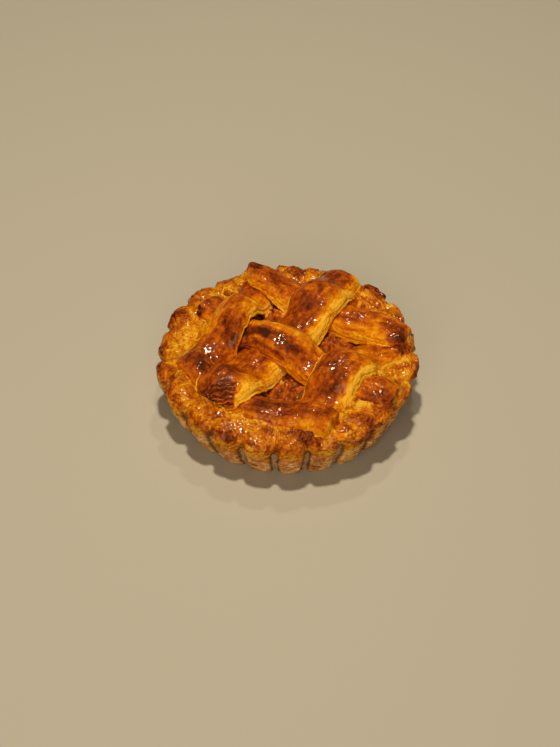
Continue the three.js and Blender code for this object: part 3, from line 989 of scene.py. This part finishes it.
def make_strip(node, line, material):
    """A strip with its relief and marks. Gives back its points."""
    look = LOOKS[node]
    strip = lay_strip(node, line)
    rows, grainwise, torn, fold = shape_ends(node, strip)
    dark = scorch(node, rows)
    drop = strip.high - strip.z + look.slump * (strip.crest - strip.high)
    fields = strip_fields(rows, grainwise, drop, dark)

    # The browned crown ends where the strip drops off, later on the side where it runs over the edge.
    brown_side = look.over_edge * strip.across
    browned = drop - BROWN_RUN * smoothstep(0.1, 0.8, brown_side)
    browned += BROWN_SHORT * smoothstep(0.1, -0.6, brown_side)
    line_of_brown = browned + 0.6 * CRUST.fractal(rows, size=5.0, octaves=2)
    crown = smoothstep(2.2, 1.0, line_of_brown) * (strip.w > 0)
    under = smoothstep(-0.7, -0.95, strip.up)

    lift = crown * weigh(fields, TOP_RELIEF)
    lift += (1 - crown) * (1 - under) * (weigh(fields, SIDE_RELIEF) - SIDE_SINK)
    lift = lerp(lift, LEAF_HEIGHT * (fields["leaf"] - 0.5), torn)
    lift += (0.1 - 0.07 * crown) * CRUST.fractal(rows, size=1.5, octaves=2)
    rows = rows + normals(rows) * lift[..., None]

    fields["mottle"] = TONE.fractal(rows + 90, size=3.5, octaves=2)
    fields["shoulder"] = smoothstep(0.4, 1.6, browned)
    fields["brow"] = smoothstep(2.6, 1.6, drop)
    bake_top = look.top + weigh(fields, TOP_BAKING)
    bake_side = look.side + weigh(fields, SIDE_BAKING)
    bake = lerp(bake_side, bake_top, crown) + dark
    bake = lerp(bake, TORN_BAKE + weigh(fields, TORN_BAKING), torn) - FOLD_PALER * fold
    glaze = crown * np.clip(0.6 + 0.5 * fields["tone"] + 0.9 * dark, 0, 1) * (1 - 0.6 * torn)
    marks = {"bake": bake, "glaze": glaze, "wall": 0 * bake, "groove": 0 * bake}
    add_piece(node, rows, marks, material)
    return rows


pastry = pastry_material("pastry", shade=0.84, swirl=0.2)
glazed = pastry_material("glazed_pastry", shade=1.0, swirl=0.05)
make_case(pastry, {node: make_strip(node, line, glazed) for node, line in STRIPS.items()})
make_filling(meat_material("meat"))


# Camera

ELEVATION = math.radians(45.2)
ROLL = math.radians(1.6)
DISTANCE = 873.6
AIM = (-4.11, 5.31, 5.27)
LENS = 91.57
SENSOR = 36

camera_data = bpy.data.cameras.new("camera")
camera_data.lens = LENS
camera_data.sensor_width = SENSOR
camera = bpy.data.objects.new("camera", camera_data)
bpy.context.scene.collection.objects.link(camera)
turn = Matrix.Rotation(math.pi / 2 - ELEVATION, 4, "X") @ Matrix.Rotation(ROLL, 4, "Z")
back = Vector((0, -math.cos(ELEVATION), math.sin(ELEVATION)))
camera.matrix_world = Matrix.Translation((Vector(AIM) + DISTANCE * back) * MM) @ turn
bpy.context.scene.camera = camera


# Floor and light, in metres

FLOOR_SIZE = 4.0
FLOOR_COLOUR = (0.5, 0.5, 0.49, 1)
WARM = (1.0, 0.82, 0.54)
WORLD_STRENGTH = 0.06


def add_light(name, place, target, size, power):
    data = bpy.data.lights.new(name, "AREA")
    data.size = size
    data.energy = power
    data.color = WARM
    lamp = bpy.data.objects.new(name, data)
    bpy.context.scene.collection.objects.link(lamp)
    lamp.location = place
    lamp.rotation_euler = (Vector(target) - Vector(place)).to_track_quat("-Z", "Y").to_euler()


bpy.ops.mesh.primitive_plane_add(size=FLOOR_SIZE)
floor = bpy.context.object
floor.name = "floor"
floor_material, _, floor_shader = new_material("floor")
floor_shader.inputs["Base Color"].default_value = FLOOR_COLOUR
floor_shader.inputs["Roughness"].default_value = 0.8
floor.data.materials.append(floor_material)

add_light("overhead", place=(-0.06, 0.02, 1.0), target=(0, 0, 0), size=0.07, power=6.5)
add_light("back", place=(0.05, 0.55, 0.95), target=(0, 0, 0), size=0.07, power=1.5)
add_light("front", place=(-0.15, -1.1, 0.65), target=(0, 0, 0.01), size=1.0, power=6.8)

world = bpy.data.worlds.new("studio")
world.use_nodes = True
background = world.node_tree.nodes["Background"]
background.inputs["Color"].default_value = (*WARM, 1)
background.inputs["Strength"].default_value = WORLD_STRENGTH
bpy.context.scene.world = world
bpy.context.scene.view_settings.view_transform = "Standard"
